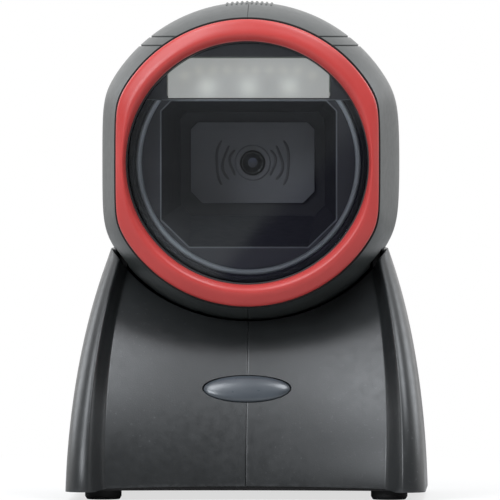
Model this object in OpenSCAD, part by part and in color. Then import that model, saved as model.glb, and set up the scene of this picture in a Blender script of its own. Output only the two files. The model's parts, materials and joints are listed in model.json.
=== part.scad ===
// Hands-free desktop presentation scanner: a tilting, near-spherical imaging
// head carried by an internal yoke in a flared two-half pedestal.
// Millimetres. +Z up, the face looks along -Y, the origin lies on the desk
// under the middle of the footprint.

/* [Head] */
// Height of the tilt axis above the desk
axis_z = 101; // [100.6:0.1:101.4]
// Outside radius of the ball-shaped head
head_r = 48.6; // [48.4:0.1:48.8]
// Wall of the two head shells
head_wall = 2.2; // [2:0.1:2.3]
// Distance of the flat side discs from the centre plane
head_flat = 45.4; // [45.2:0.1:45.6]
// Height of the friction ribs on the crown
rib_h = 0.4; // [0.2:0.1:0.6]

/* [Face] */
// Outside radius of the coloured bezel ring
ring_r = 43.3; // [43.1:0.1:43.4]
// Radius of the clear window
window_r = 36.2; // [36:0.1:36.2]
// Thickness of the clear window
window_t = 1.8; // [1.4:0.1:2]
// Half width of the opening in the optics mask
mask_hw = 26.4; // [26:0.1:26.5]

/* [Optics] */
// Half width of the lamp diffuser
lamp_hw = 24.4; // [23.8:0.1:24.4]
// Number of small lamps in the upper row
small_led_n = 10; // [6:1:10]
// Radius of the lens barrel
lens_r = 3.8; // [3.4:0.1:3.8]

/* [Pedestal] */
// Half width of the pedestal at the desk
base_hw = 54; // [53.8:0.1:54.4]
// Distance of the two front fins from the middle at the desk
fin_y = 48.6; // [48:0.1:49]
// Wall of the two pedestal shells
base_wall = 2.2; // [1.8:0.1:2.4]
// Clearance between the head and the cup it tilts in
cup_gap = 0.9; // [0.9:0.1:1.1]
// Radius of a rubber foot
foot_r = 5.5; // [5:0.1:6]

/* [Button] */
// Half width of the oval button
btn_a = 13.1; // [12:0.1:13.3]
// Half height of the oval button, along the sloping front
btn_b = 4.5; // [4:0.1:4.7]
// Height of the button's centre above the desk
btn_z = 33; // [32:0.5:34]
// Stand of the dome proud of the pedestal
btn_dome = 1.6; // [1:0.1:2]

/* [Hidden] */
seam = 0.05;                 // each half shell stops this far from the centre plane
part_gap = 0.03;             // gap between a board and the parts on it
screw_gap = 0.02;            // gap under the screw heads in the head

// Head shells
front_y = -23.5;             // front edge
cheek_w = 39.6;              // half width of the cheeks at the front edge
cheek_depth = 28.5;          // depth over which the cheeks widen to the flats
side_slope = (head_flat - cheek_w) / cheek_depth;
rib_pitch = 1.5;
pivot_r = 3;                 // trunnion post

// Layers inside the head, as [front y, rear y]
frame_front_y = -22.6;
ledge_y = -15.8;             // ledge of the frame behind the window
window_back_y = -16.2;
mask_y = [-10, -8.4];
tunnel_y = [-8.3, 31.6];
lamp_board_y = [-4.3, -2.7];
ear_y = [-5.4, -4.2];        // screw ears of the tunnel
camera_board_y = [35.35, 36.55];
decoder_board_y = [40.2, 41.6];

ledge_top_z = 18.9;          // the ledge and the mask's lip stop here, below the lamp
lens_z = -0.5;               // lens below the head centre
lens_bore_r = lens_r + 0.05;
large_led_x = [-12.45, 0, 12.45];
small_led_pitch = 4.3;
small_led_x = [for (i = [0 : small_led_n - 1]) (i - (small_led_n - 1) / 2) * small_led_pitch];

// Screw places in the head, as [x, z]; those of the camera are about the lens
boss_p = 27.1;
face_holes = corners(boss_p, boss_p);
lamp_holes = [[-28.8, 21.8], [28.8, 21.8]];
tunnel_holes = [for (x = [-29.9, 29.9], z = [8, -14]) [x, z]];
camera_holes = corners(16, 10);
decoder_holes = corners(12.5, 7.5);

// Yoke
arm_x = [37.4, 39.4];        // inner and outer face of an arm
eye_r = 3.05;                // eye round the trunnion post

// Pedestal
base_z = 2.6;                // lower edge of the shells
board_z = [8, 9.6];          // underside and top of the interface board
parts_z = board_z[1] + part_gap;
header_y = 22.5;             // front of the two headers

// Screw and foot places in the pedestal, as [x, y]
shell_holes = [[48, -14], [48, 20]];
plate_holes = concat(shell_holes, [for (p = shell_holes) [-p[0], p[1]]]);
yoke_holes = corners(33, 5.5);
interface_holes = [for (x = [-16, 16], y = [19, 41]) [x, y]];
ballast_holes = [[0, -24], [0, 4]];
foot_places = [[43, -33], [-43, -33], [38, 33], [-38, 33]];

// Button: its frame sits on the sloping front with z outwards and y up the slope
btn_y = front_mid_y(btn_z);
btn_slope = atan(front_mid_y(btn_z + 0.5) - front_mid_y(btn_z - 0.5));
btn_holes = [[-18.5, 0], [18.5, 0]];
btn_board_z = [-12.4, -10.95];
btn_parts_z = btn_board_z[1] + part_gap;

// Colours used more than once
head_grey = [0.33, 0.34, 0.35];
base_grey = [0.26, 0.27, 0.28];
screw_metal = [0.6, 0.6, 0.62];
washer_metal = [0.7, 0.7, 0.72];
board_green = [0.10, 0.30, 0.20];
matt_black = [0.10, 0.10, 0.11];

// ------------------------------------------------------------ functions
function unit(v) = v / norm(v);
function mix(a, b, t) = a + (b - a) * t;
function corners(a, b) = [for (sa = [-1, 1], sb = [-1, 1]) [sa * a, sb * b]];
// span from inner to outer, on the right (side > 0) or mirrored to the left
function side_span(side, inner, outer) = side > 0 ? [inner, outer] : [-outer, -inner];
function oval(a, b, n = 48) = [for (i = [0 : n - 1]) [a * cos(i * 360 / n), b * sin(i * 360 / n)]];
function oval_ring(a, b, z) = [for (p = oval(a, b)) [p[0], p[1], z]];
// the two triangles of a four-cornered face
function split(a, b, c, d) = [[a, b, c], [a, c, d]];
// rings of a round cable along a path; ref is never parallel to the path
function cable_rings(path, r, ref, n = 12) = let (last = len(path) - 1) [
  for (i = [0 : last]) let (
      ahead = i < last ? unit(path[i + 1] - path[i]) : [0, 0, 0],
      behind = i > 0 ? unit(path[i] - path[i - 1]) : [0, 0, 0],
      along = unit(ahead + behind),
      u = unit(cross(ref, along)),
      v = cross(along, u))
    [for (k = [0 : n - 1]) path[i] + r * (cos(k * 360 / n) * u + sin(k * 360 / n) * v)]];

// ------------------------------------------------------------ placing
module at_head() translate([0, 0, axis_z]) children();
module at_lens() at_head() translate([0, 0, lens_z]) children();
module at_button() translate([0, btn_y, btn_z]) rotate([90 - btn_slope, 0, 0]) children();
module each_xz(places) for (p = places) translate([p[0], 0, p[1]]) children();
module each_xy(places) for (p = places) translate([p[0], p[1], 0]) children();
module both() for (s = [0, 1]) mirror([s, 0, 0]) children();

// ------------------------------------------------------------ solids
// Spans are [from, to] along the named axis.
module box(a, b) translate(a) cube([b[0] - a[0], b[1] - a[1], b[2] - a[2]]);
module rod_x(x, r, z = 0)
  translate([x[0], 0, z]) rotate([0, 90, 0]) cylinder(h = x[1] - x[0], r = r, $fn = 64);
module rod_y(y, r, at = [0, 0])
  translate([at[0], y[0], at[1]]) rotate([-90, 0, 0]) cylinder(h = y[1] - y[0], r = r, $fn = 48);
module rod_z(z, r, fn = 32) translate([0, 0, z[0]]) cylinder(h = z[1] - z[0], r = r, $fn = fn);
module tube_x(x, r, bore, bore_r) difference() {
  rod_x(x, r);
  rod_x(bore, bore_r);
}
module tube_y(y, r, bore, bore_r) difference() {
  rod_y(y, r);
  rod_y(bore, bore_r);
}
// extrusions of a (y, z) shape along x and of an (x, z) shape along y
module extrude_x(x)
  translate([x[0], 0, 0]) rotate([90, 0, 90]) linear_extrude(height = x[1] - x[0]) children();
module extrude_y(y)
  translate([0, y[1], 0]) rotate([90, 0, 0]) linear_extrude(height = y[1] - y[0]) children();
// profile of [radius, y] turned about the y axis
module turn_y(profile)
  rotate([90, 0, 0]) rotate_extrude($fn = 128) polygon([for (p = profile) [p[0], -p[1]]]);
// one head and one shank at each place
module screws_y(places, head, head_r, shank, shank_r) each_xz(places) {
  rod_y(head, head_r);
  rod_y(shank, shank_r);
}
module screws_z(places, head, head_r, shank, shank_r) each_xy(places) {
  rod_z(head, head_r);
  rod_z(shank, shank_r);
}
// ribbon of thickness t over a path of [y, z]
module ribbon(x, path, t) extrude_x(x)
  polygon(concat(path, [for (i = [len(path) - 1 : -1 : 0]) path[i] + [0, t]]));
module cable(path, r, ref = [0, 0, 1]) skin(cable_rings(path, r, ref));
// closed solid through a stack of rings, each a list of points
module skin(rings) {
  n = len(rings[0]);
  m = len(rings);
  sides = [for (k = [0 : m - 2], i = [0 : n - 1])
    let (a = k * n + i, b = k * n + (i + 1) % n) each split(a, a + n, b + n, b)];
  faces = concat(
    [[for (i = [0 : n - 1]) i]],
    sides,
    [[for (i = [n - 1 : -1 : 0]) (m - 1) * n + i]]);
  polyhedron(points = [for (ring = rings) each ring], faces = faces, convexity = 6);
}

// ------------------------------------------------------------ head shells
// Plan of the head: flat discs at the sides, cheeks that taper to the face.
module side_prism(inset) {
  reach = 60;
  flat_w = head_flat - inset;
  flat_y = front_y + cheek_depth;
  front_w = cheek_w - inset + side_slope * (-reach - front_y);
  linear_extrude(height = 140, center = true)
    polygon([[-front_w, -reach], [front_w, -reach], [flat_w, flat_y],
      [flat_w, reach], [-flat_w, reach], [-flat_w, flat_y]]);
}
// Openings for the yoke arms: an arc about the tilt axis, open downwards.
function slot_arc(r, steps) = [for (i = steps) let (a = mix(-16, 40, i / 18)) r * [sin(a), -cos(a)]];
module arm_slot() both() extrude_x([36.6, 40.4])
  polygon(concat(slot_arc(36, [0 : 18]), slot_arc(20, [18 : -1 : 0])));
module crown_rib(x) {
  r = sqrt(head_r * head_r - x * x) + rib_h;
  intersection() {
    difference() {
      rod_x([x - 0.35, x + 0.35], r);
      rod_x([x - 1, x + 1], r - 1.4);
    }
    box([x - 1, -9, 38], [x + 1, 16, 52]);
  }
}
// two fine grooves round the upper head
module crown_grooves() difference() {
  for (z = [35.2, 37.9]) box([-60, -60, z], [60, 60, z + 0.4]);
  sphere(r = head_r - 0.4, $fn = 128);
}
// boss for the face and mask screws, with a web out to the shell
module face_boss(side, up) {
  rod_y([-21.35, -10.05], 1.9, at = [side * boss_p, up * boss_p]);
  intersection() {
    rotate([0, -side * up * 45 + (side < 0 ? 180 : 0), 0]) box([39.5, -21.3, -0.8], [46, -12, 0.8]);
    sphere(r = head_r - 0.6, $fn = 128);
  }
}
// side is 1 for the half at +X, -1 for the half at -X
module head_half(side) difference() {
  union() {
    difference() {
      intersection() {
        sphere(r = head_r, $fn = 128);
        side_prism(0);
        translate([side > 0 ? seam : -60, front_y, -60]) cube([60 - seam, 90, 120]);
      }
      intersection() {
        sphere(r = head_r - head_wall, $fn = 128);
        side_prism(head_wall);
      }
      crown_grooves();
      // sound slots of the beeper
      for (z = [-8 : 3 : 1]) box([side * 4.5 - 3, 40, z], [side * 4.5 + 3, 60, z + 1.1]);
    }
    for (i = [0 : 4]) crown_rib(side * rib_pitch * (i + 0.5));
    for (up = [-1, 1]) face_boss(side, up);
    // trunnion: shoulder and post
    rod_x(side_span(side, 40, 43.4), 5.2);
    rod_x(side_span(side, 36.85, 43.4), pivot_r);
  }
  for (up = [-1, 1]) rod_y([-24, -7], 0.85, at = [side * boss_p, up * boss_p]);
  rod_x(side_span(side, 30, 42), 1);
  arm_slot();
}
module head_shell_left() color(head_grey) at_head() head_half(-1);
module head_shell_right() color(head_grey) at_head() head_half(1);

// ------------------------------------------------------------ face
// Four blocks round the face: the bezel's hooks, or the frame's cut-outs for them.
module snap_blocks(radial, width, y) for (a = [65, 115, 245, 295])
  rotate([0, -a, 0]) box([radial[0], y[0], -width / 2], [radial[1], y[1], width / 2]);
module above_ledge() box([-40, -17, ledge_top_z], [40, -12, 40]);

bead_r = 39.9;               // radius at the front-most line of the bezel
bezel_section = concat(
  [for (a = [0 : 7.5 : 90]) [bead_r + (ring_r - bead_r) * cos(a), -23.55 - 2.65 * sin(a)]],
  [for (a = [97.5 : 7.5 : 180]) [bead_r + 3.2 * cos(a), -22.7 - 3.5 * sin(a)]],
  [[39.8, -22.7], [39.8, -23.55]]);
// hollow in the back of the bezel, as [radius, y]
bezel_hollow = [[37.7, -22.5], [37.7, -23.8], [38.4, -24.5], [39.8, -24.8], [41.2, -24.5],
  [41.8, -23.9], [41.8, -22.5]];
module bezel_ring() color([0.76, 0.30, 0.28]) at_head() {
  difference() {
    intersection() {
      turn_y(bezel_section);
      box([-39.7, -30, -60], [39.7, 0, 60]);
    }
    intersection() {
      turn_y(bezel_hollow);
      box([-38.5, -30, -60], [38.5, 0, 60]);
    }
    // pockets over the screw heads, and room for the cheeks of the shells
    each_xz(face_holes) rod_y([-23.9, -22], 1.4);
    both() box([37.2, -23.53, -60], [60, 0, 60]);
  }
  snap_blocks([38.5, 39.5], 4, [-24.95, -19.6]);
  snap_blocks([38.5, 40.1], 4, [-21.3, -19.6]);
}
module window_frame() color([0.11, 0.11, 0.12]) at_head() difference() {
  intersection() {
    turn_y([[36.3, frame_front_y], [40.4, frame_front_y], [40.4, -21.4], [37.3, -21.4],
      [37.3, -13], [34.6, -13], [34.8, ledge_y], [36.3, ledge_y]]);
    box([-37.2, -30, -60], [37.2, 0, 60]);
  }
  intersection() {
    rod_y([-17, -12], 36.3);
    above_ledge();
  }
  each_xz(face_holes) {
    rod_y([-25, -18], 1.2);
    rod_y([-21.4, -12], 2.05);
  }
  snap_blocks([38.2, 42], 5, [-25, -20]);
}
module frame_screws() color(screw_metal) at_head()
  screws_y(face_holes, head = [-23.5, frame_front_y - screw_gap], head_r = 1.3,
    shank = [-22.7, -16.5], shank_r = 0.82);
module window_gasket() color([0.08, 0.08, 0.08]) at_head() difference() {
  front = window_back_y + part_gap;
  back = ledge_y - part_gap;
  turn_y([[35, front], [36.2, front], [36.2, back], [35, back]]);
  above_ledge();
}
module window() color([0.62, 0.68, 0.72, 0.35]) at_head() {
  bevel = 0.3;
  window_front_y = window_back_y - window_t;
  turn_y([[0, window_front_y], [window_r - bevel, window_front_y],
    [window_r, window_front_y + bevel], [window_r, window_back_y - bevel],
    [window_r - bevel, window_back_y], [0, window_back_y]]);
}

// ------------------------------------------------------------ mask and lamp
// Eight-sided opening of the mask, grown by grow.
module mask_opening(grow = 0) {
  w = mask_hw + grow;
  half = grow / 2;
  polygon([[-w, 15.5 + half], [-w, -17.3 - half], [-17.9 - half, -25.5 - grow],
    [17.9 + half, -25.5 - grow], [w, -17.3 - half], [w, 15.5 + half],
    [23.1 + half, 18.5 + grow], [-23.1 - half, 18.5 + grow]]);
}
// Lamp outline, grown by grow at the sides and top and lowered by drop below.
module lamp_shape(grow = 0, drop = 0) {
  w = lamp_hw + grow;
  half = grow / 2;
  polygon([[-w, 19.5 - drop], [w, 19.5 - drop], [w, 27.4 + half], [19.6 + half, 31.6 + grow],
    [-19.6 - half, 31.6 + grow], [-w, 27.4 + half]]);
}
module optics_mask() color([0.19, 0.19, 0.21]) at_head() {
  lip_section = concat(
    [for (a = [0 : 15 : 180]) [33.2 + 0.75 * cos(a), -11.9 - 0.7 * sin(a)]],
    [[32.45, -9.5], [33.95, -9.5]]);
  difference() {
    union() {
      intersection() {
        rod_y(mask_y, 41);
        box([-36.6, -30, -60], [36.6, 0, 60]);
      }
      // lip round the mask, up to the step under the lamp
      intersection() {
        turn_y(lip_section);
        box([-40, -14, -40], [40, -5, ledge_top_z]);
      }
      box([-31.2, -10.35, 18.75], [31.2, -9.9, 19.15]);
    }
    extrude_y([-14, -5]) mask_opening();
    extrude_y([-14, -5]) lamp_shape(grow = 0.3, drop = 0.2);
    each_xz(face_holes) rod_y([-12, -5], 1.2);
  }
  // posts for the lamp board and the tunnel
  each_xz(lamp_holes) tube_y([-8.5, -4.35], 2.1, bore = [-8, -4], bore_r = 0.85);
  each_xz(tunnel_holes) tube_y([-8.5, -5.45], 2.1, bore = [-8, -5], bore_r = 0.85);
}
module mask_screws() color(screw_metal) at_head()
  screws_y(face_holes, head = [mask_y[1] + screw_gap, -7.3], head_r = 1.5,
    shank = [-15, -8.3], shank_r = 0.82);
module lamp_diffuser() color([0.72, 0.72, 0.70, 0.8]) at_head() {
  extrude_y([-11.2, -8.3]) lamp_shape();
  // flange behind the mask
  difference() {
    extrude_y([-8.35, -7.5]) lamp_shape(grow = 0.8);
    box([-40, -9, 10], [40, -7, 20]);
  }
}
module lamp_reflector() color([0.85, 0.85, 0.83]) at_head() difference() {
  extrude_y([-7.45, -4.35]) intersection() {
    lamp_shape(grow = 1.1);
    translate([-40, 20.1]) square([80, 20]);
  }
  extrude_y([-9, -3]) intersection() {
    lamp_shape(grow = 0.2);
    translate([-40, 21.2]) square([80, 20]);
  }
}
module lamp_board() color(board_green) at_head() difference() {
  box([-31.2, lamp_board_y[0], 19.9], [31.2, lamp_board_y[1], 33.4]);
  each_xz(lamp_holes) rod_y([-6, 0], 1.1);
}
module lamp_board_screws() color(screw_metal) at_head()
  screws_y(lamp_holes, head = [lamp_board_y[1] + screw_gap, -1.6], head_r = 1.8,
    shank = [-7, -2.6], shank_r = 0.82);
// box of an LED centred on x, z, standing on the front of the lamp board
module led_box(x, z, half_x, half_z)
  box([x - half_x, -5, z - half_z], [x + half_x, lamp_board_y[0] - part_gap, z + half_z]);
module large_leds() color([0.95, 0.92, 0.80]) at_head() for (x = large_led_x) {
  led_box(x, 22.9, 1.6, 1.6);
  rod_y([-5.8, -4.9], 1.3, at = [x, 22.9]);
}
// the outermost small LEDs sit lower, under the cut corners of the lamp
module small_leds() color([0.95, 0.85, 0.65]) at_head()
  for (x = small_led_x) led_box(x, abs(x) > 19 ? 26.2 : 28, 0.8, 0.6);

// ------------------------------------------------------------ light tunnel
// Tapering tube from the mask back to the camera, with the camera's seat.
function tunnel_ring(y, grow) = let (
    t = (y - tunnel_y[0]) / (tunnel_y[1] - tunnel_y[0]),
    w = mix(mask_hw, 22, t) + grow,
    top = mix(18.5, 15, t) + grow,
    bottom = mix(-25.5, -16.5, t) - grow,
    low_cut = mix(8.5, 3, t),
    top_cut = mix(3, 2, t))
  [[-w, y, top - top_cut], [-w + top_cut, y, top], [w - top_cut, y, top], [w, y, top - top_cut],
    [w, y, bottom + low_cut], [w - low_cut, y, bottom], [-w + low_cut, y, bottom],
    [-w, y, bottom + low_cut]];
module tunnel_ear(hole) {
  x = side_span(hole[0], 25, 32.2);
  difference() {
    box([x[0], ear_y[0], hole[1] - 2.3], [x[1], ear_y[1], hole[1] + 2.3]);
    rod_y([-7, -3], 1.1, at = hole);
  }
}
module light_tunnel() color([0.12, 0.12, 0.13]) difference() {
  union() {
    at_head() skin([for (y = tunnel_y) tunnel_ring(y, 1.1)]);
    at_head() for (hole = tunnel_holes) tunnel_ear(hole);
    at_lens() each_xz(camera_holes) rod_y([31, 35.3], 2);
  }
  at_head() skin([tunnel_ring(-9, 0), tunnel_ring(30.42, 0)]);
  at_lens() rod_y([28, 33], lens_r + 0.5);
  at_lens() each_xz(camera_holes) rod_y([31.9, 36], 0.75);
}
module tunnel_screws() color(screw_metal) at_head()
  screws_y(tunnel_holes, head = [ear_y[1] + screw_gap, -3.1], head_r = 1.8,
    shank = [-7.6, -4.1], shank_r = 0.82);

// ------------------------------------------------------------ camera
// plate outline, as [x, z] about the lens
camera_plate_outline = [[-19, 10.2], [-16.8, 12.4], [16.8, 12.4], [19, 10.2],
  [19, -8.8], [15.4, -12.4], [-15.4, -12.4], [-19, -8.8]];
module camera_plate() color([0.21, 0.21, 0.23]) at_lens() difference() {
  union() {
    extrude_y([29, 30.4]) polygon(camera_plate_outline);
    rod_y([28.4, 29.2], 5.3);
    // raised ripples either side of the lens
    for (r = [6.6, 8.8, 11], turn = [0, 180])
      rotate([90, 0, 0]) translate([0, 0, -29.1]) rotate([0, 0, turn - 35])
        rotate_extrude(angle = 70, $fn = 96)
          polygon([[r - 0.4, 0], [r + 0.4, 0], [r + 0.15, 0.35], [r - 0.15, 0.35]]);
  }
  rod_y([27, 32], lens_bore_r);
}
module lens_barrel() color([0.12, 0.12, 0.12]) at_lens()
  turn_y([[2.7, 27.6], [3.2, 27.4], [lens_r, 27.9], [lens_r, 33.7], [2.6, 33.7],
    [2.6, 30.2], [1.5, 29.6], [1.5, 28.9], [2.3, 28.5]]);
module lens_glass() color([0.35, 0.40, 0.50, 0.6]) at_lens()
  turn_y([[0, 30.3], [2.5, 30.3], [2.5, 31.2], [1.7, 31.6], [0, 31.8]]);
module lens_mount() color([0.15, 0.15, 0.16]) at_lens() difference() {
  box([-6.5, 31.75, -6], [6.5, 35.3, 6]);
  rod_y([31, 36], lens_bore_r);
  box([-4.6, 33.9, -4], [4.6, 36, 4]);
}
module image_sensor() color([0.30, 0.32, 0.36]) at_lens()
  box([-3.6, 34.4, -3], [3.6, camera_board_y[0] - 0.02, 3]);
module camera_board() color(board_green) at_lens() difference() {
  box([-18.5, camera_board_y[0], -12.3], [18.5, camera_board_y[1], 12.3]);
  each_xz(camera_holes) rod_y([33, 38], 1.05);
}
module camera_screws() color(screw_metal) at_lens()
  screws_y(camera_holes, head = [camera_board_y[1] + screw_gap, 37.5], head_r = 1.7,
    shank = [32.4, 36.6], shank_r = 0.72);

// ------------------------------------------------------------ decoder board
decoder_front = decoder_board_y[0] - part_gap;
decoder_rear = decoder_board_y[1] + part_gap;
module board_spacers() color([0.75, 0.68, 0.45]) at_head() each_xz(decoder_holes)
  tube_y([36.6, 40.15], 1.6, bore = [38, 41], bore_r = 0.75);
module decoder_board() color(board_green) at_head() difference() {
  box([-16, decoder_board_y[0], -11], [16, decoder_board_y[1], 11]);
  each_xz(decoder_holes) rod_y([38, 44], 1);
}
// parts on the front of the board, as [left x, front y, low z, right x, high z]
front_chips = [
  [-8.5, 39.1, -5.5, 1, 4],
  [3, 39.3, -5, 8.5, 0],
  [13.2, 38.1, -3, 15.9, 3],
  [-4, 38.3, 7.2, 6, 10.4]];
module decoder_chips() color([0.13, 0.13, 0.14]) at_head() {
  for (c = front_chips) box([c[0], c[1], c[2]], [c[3], decoder_front, c[4]]);
  box([-8, decoder_rear, -8], [0, 43.3, -4.5]);
}
module board_screws() color(screw_metal) at_head()
  screws_y(decoder_holes, head = [decoder_rear, 42.4], head_r = 1.5,
    shank = [38.6, 41.7], shank_r = 0.72);
module buzzer() color([0.10, 0.10, 0.10]) at_head() translate([4.6, 0, 1])
  tube_y([decoder_rear, 43.7], 4.2, bore = [43, 44], bore_r = 0.8);

// ------------------------------------------------------------ head wiring
module lamp_ribbon() color([0.75, 0.73, 0.68]) at_head() ribbon([-3.5, 5.5],
  [[-2.66, 28.5], [4, 28], [20, 25], [33, 19.5], [38, 14], [39.2, 10.45]], t = 0.6);
module camera_flex() color([0.70, 0.45, 0.15]) at_head() ribbon([-5, 5],
  [[36.6, -11.8], [37.6, -14], [39, -14], [40.15, -11.2]], t = 0.5);
module head_harness() color(matt_black) at_head() cable(
  [[31.9, 0, 0], [31, 0, 0], [30.2, 2.5, 0], [29.3, 16, 0], [26.7, 28, 0], [21.8, 36.5, 0],
    [18, 39, 0], [16.1, 39, 0]], r = 1.1);

// ------------------------------------------------------------ pivot hardware
module wave_washers() color(washer_metal) at_head() both()
  tube_x([36.9, 37.35], 5.2, bore = [36, 38], bore_r = 3.2);
module retaining_washers() color(washer_metal) at_head() both()
  tube_x([36.2, 36.82], 5, bore = [36, 38], bore_r = 1.15);
module friction_washers() color([0.80, 0.76, 0.62]) at_head() both()
  tube_x([39.43, 39.97], 6, bore = [38, 41], bore_r = 3.1);
module pivot_screws() color(screw_metal) at_head() both() {
  // head with a hexagon socket
  difference() {
    rod_x([34.9, 36.17], 2.2);
    translate([34, 0, 0]) rotate([0, 90, 0]) cylinder(h = 1.6, r = 1.2, $fn = 6);
  }
  rod_x([36.1, 41], 0.97);
}

// ------------------------------------------------------------ pedestal shape
// Each function gives a measure of the outline at height z.
function rise(z) = max(0, (z - 3) / 72);
function half_width(z) = base_hw - (2 * rise(z) + 8 * pow(rise(z), 2) + 2 * pow(rise(z), 4));
function crest_y(z) = min(-3, -fin_y + 45 * pow(rise(z), 1.6));
function front_mid_y(z) = min(8, -38.5 + 27.5 * pow(max(0, z - 3) / 51, 1.6));
// half outline set in by inset, from the front seam round to the rear seam
function half_outline(z, inset) = let (
    t = min(1.05, rise(z)),
    narrowing = 1 - 0.45 * t,
    side_x = half_width(z) - inset,
    fin_tip_y = crest_y(z) + inset,
    mid_y = front_mid_y(z) + inset,
    fin_x = half_width(z) - 6.5 * narrowing,
    groove_x = half_width(z) - 12.5 * narrowing + 0.9 * inset,
    bow = 0.35 * (mid_y - fin_tip_y),
    groove_y = mid_y - bow,
    fin_r = min(7, -fin_tip_y - 0.3),
    rear_y = 48.4 - 2 * t * t - inset,
    power = 3.4 - 1.4 * min(1, t))
  concat(
    // bowed front, groove flank, round of the fin, side, rear
    [for (i = [0 : 8]) [max(seam, groove_x * i / 8), mid_y - bow * pow(i / 8, 2)]],
    [for (i = [1 : 6]) let (u = i / 6, ease = u * u * (3 - 2 * u))
      [mix(groove_x, fin_x, u), mix(groove_y, fin_tip_y, ease)]],
    [for (i = [1 : 5]) let (a = i * 18)
      [fin_x + (side_x - fin_x) * sin(a), fin_tip_y + fin_r - fin_r * cos(a)]],
    [[side_x, 0]],
    [for (i = [1 : 10]) let (a = i * 9)
      [max(seam, side_x * pow(max(0, cos(a)), 2 / power)), rear_y * pow(sin(a), 2 / power)]]);
function full_outline(z, inset) = let (half = half_outline(z, inset))
  concat(half, [for (i = [len(half) - 2 : -1 : 1]) [-half[i][0], half[i][1]]]);

base_levels = [base_z, 6, 12, 18, 24, 30, 36, 42, 48, 53, 58, 62, 66, 70, 73, 75.5, 78, 81];
// Hollow half pedestal. Each level holds n outer points, then n inner points.
module base_skin() {
  n = len(half_outline(10, 0));
  m = len(base_levels);
  row = 2 * n;
  points = [for (z = base_levels, inset = [0, base_wall])
    each [for (p = half_outline(z, inset)) [p[0], p[1], z]]];
  outer = [for (k = [0 : m - 2], i = [0 : n - 2])
    let (a = k * row + i) each split(a, a + row, a + row + 1, a + 1)];
  inner = [for (k = [0 : m - 2], i = [0 : n - 2])
    let (a = k * row + n + i) each split(a, a + 1, a + row + 1, a + row)];
  front_seam = [for (k = [0 : m - 2])
    let (a = k * row, b = a + n) each split(a, b, b + row, a + row)];
  rear_seam = [for (k = [0 : m - 2])
    let (a = k * row + n - 1, b = a + n) each split(a, a + row, b + row, b)];
  bottom = [for (i = [0 : n - 2]) each split(i, i + 1, n + i + 1, n + i)];
  top = [for (i = [0 : n - 2])
    let (a = (m - 1) * row + i) each split(a, a + n, a + n + 1, a + 1)];
  polyhedron(points = points, convexity = 8,
    faces = concat(outer, inner, front_seam, rear_seam, bottom, top));
}
// The right half, at +X.
module base_shell() difference() {
  union() {
    difference() {
      base_skin();
      // cup for the head, and the slanted top edge
      at_head() sphere(r = head_r + cup_gap, $fn = 96);
      translate([-10, -60, 74.8]) rotate([atan(0.1), 0, 0])
        translate([0, -6, -6]) cube([80, 140, 40]);
    }
    each_xy(shell_holes) rod_z([5.1, 20.1], 4.3, fn = 48);
    // boss for the button guide
    at_button() each_xy([btn_holes[1]]) rod_z([-3.3, -0.7], 2.6, fn = 40);
  }
  each_xy(shell_holes) rod_z([0, 16], 1.2);
  at_button() each_xy([btn_holes[1]]) rod_z([-4, -1.1], 0.85);
  at_button() translate([0, 0, -6])
    linear_extrude(height = 12) polygon(oval(btn_a + 0.35, btn_b + 0.35));
  // opening for the jack in the rear wall
  box([-9, 40, 9.35], [8.15, 60, 22.4]);
}
module base_shell_right() color(base_grey) base_shell();
module base_shell_left() color(base_grey) mirror([1, 0, 0]) base_shell();

// ------------------------------------------------------------ base plate
module base_plate() color(matt_black) difference() {
  union() {
    translate([0, 0, 2.75])
      linear_extrude(height = 2.3) polygon(full_outline(3, base_wall + 0.35));
    each_xy(yoke_holes) rod_z([4.5, 7.95], 3, fn = 40);
    each_xy(interface_holes) rod_z([4.5, 7.95], 2.3, fn = 40);
  }
  each_xy(plate_holes) {
    rod_z([0, 8], 1.4);
    rod_z([0, 4.1], 2.5);
  }
  each_xy(foot_places) rod_z([0, 4.2], 3.05, fn = 40);
  each_xy(yoke_holes) rod_z([3.4, 11.4], 1);
  each_xy(interface_holes) rod_z([3.4, 11.4], 0.85);
  each_xy(ballast_holes) rod_z([0, 8], 1.3);
}
module base_screws() color(screw_metal)
  screws_z(plate_holes, head = [2.8, 4.07], head_r = 2.4, shank = [4, 14], shank_r = 1.15);
module ballast_plate() color([0.55, 0.56, 0.58]) difference() {
  box([-25, -30, 5.08], [25, 12, 10]);
  each_xy(ballast_holes) rod_z([0, 20], 1.3);
}
module ballast_screws() color(screw_metal)
  screws_z(ballast_holes, head = [10.03, 11.53], head_r = 2.6, shank = [3.2, 10.2], shank_r = 1.25);
module rubber_feet() color([0.07, 0.07, 0.07]) each_xy(foot_places) {
  rotate_extrude($fn = 64)
    polygon([[0, 0], [foot_r - 0.9, 0], [foot_r - 0.2, 0.5], [foot_r, 1.2], [foot_r, 2.7], [0, 2.7]]);
  // plug into the plate
  rod_z([2.6, 4], 3, fn = 40);
}

// ------------------------------------------------------------ tilt yoke
// side view of an arm, as [y, z]
yoke_arm_outline = [[-9, 8], [9, 8], [9, 46], [8.4, 56], [8.4, 76], [5.5, 86], [5.5, axis_z],
  [-5.5, axis_z], [-5.5, axis_z - 11], [2.2, 80], [2.2, 69], [0.6, 67], [-2.6, 64], [-6.2, 60],
  [-8.6, 56], [-9, 50]];
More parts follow.
